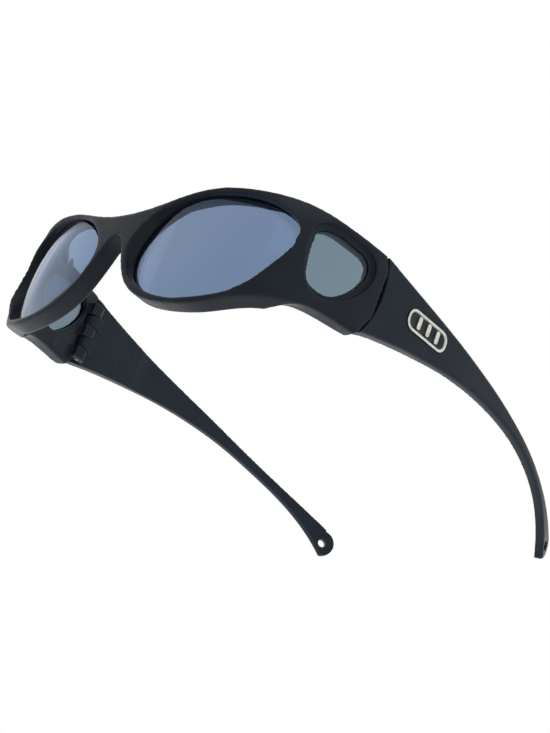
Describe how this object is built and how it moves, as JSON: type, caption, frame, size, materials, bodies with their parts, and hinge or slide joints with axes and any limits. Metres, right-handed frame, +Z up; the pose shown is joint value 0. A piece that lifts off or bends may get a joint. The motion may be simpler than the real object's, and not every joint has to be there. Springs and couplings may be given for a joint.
{
  "type": "fitover sunglasses",
  "caption": "Wrap-around sunglasses worn over spectacles: deep front with a nose arch, tinted oval lenses, side lenses in stepped windows, and broad folding temples with lanyard holes.",
  "frame": {"origin": "middle of the bounding box at its base, where the lower rims and the temple tips stand", "axes": "+X to the wearer's left, +Y from the front back to the temple tips, +Z up"},
  "size_m": [0.1438, 0.1711, 0.0401],
  "materials": {
    "frame": "satin",
    "temple": "satin",
    "lens": "polished",
    "side_lens": "polished",
    "screw": "turned",
    "badge": "polished"
  },
  "bodies": {
    "front": {"front_frame": "frame", "lens_left": "lens", "lens_right": "lens", "side_lens_left": "side_lens", "side_lens_right": "side_lens", "hinge_screw_left": "screw", "hinge_screw_right": "screw"},
    "temple_left": {"temple_left": "temple", "badge_left": "badge"},
    "temple_right": {"temple_right": "temple", "badge_right": "badge"}
  },
  "joints": [
    {"name": "fold_left", "type": "hinge", "parent": "front", "child": "temple_left", "pos_m": [0.06491, -0.03912, 0.02382], "axis": [0, 0, 1], "range_deg": [0, 90]},
    {"name": "fold_right", "type": "hinge", "parent": "front", "child": "temple_right", "pos_m": [-0.06491, -0.03912, 0.02382], "axis": [0, 0, -1], "range_deg": [0, 80]}
  ]
}
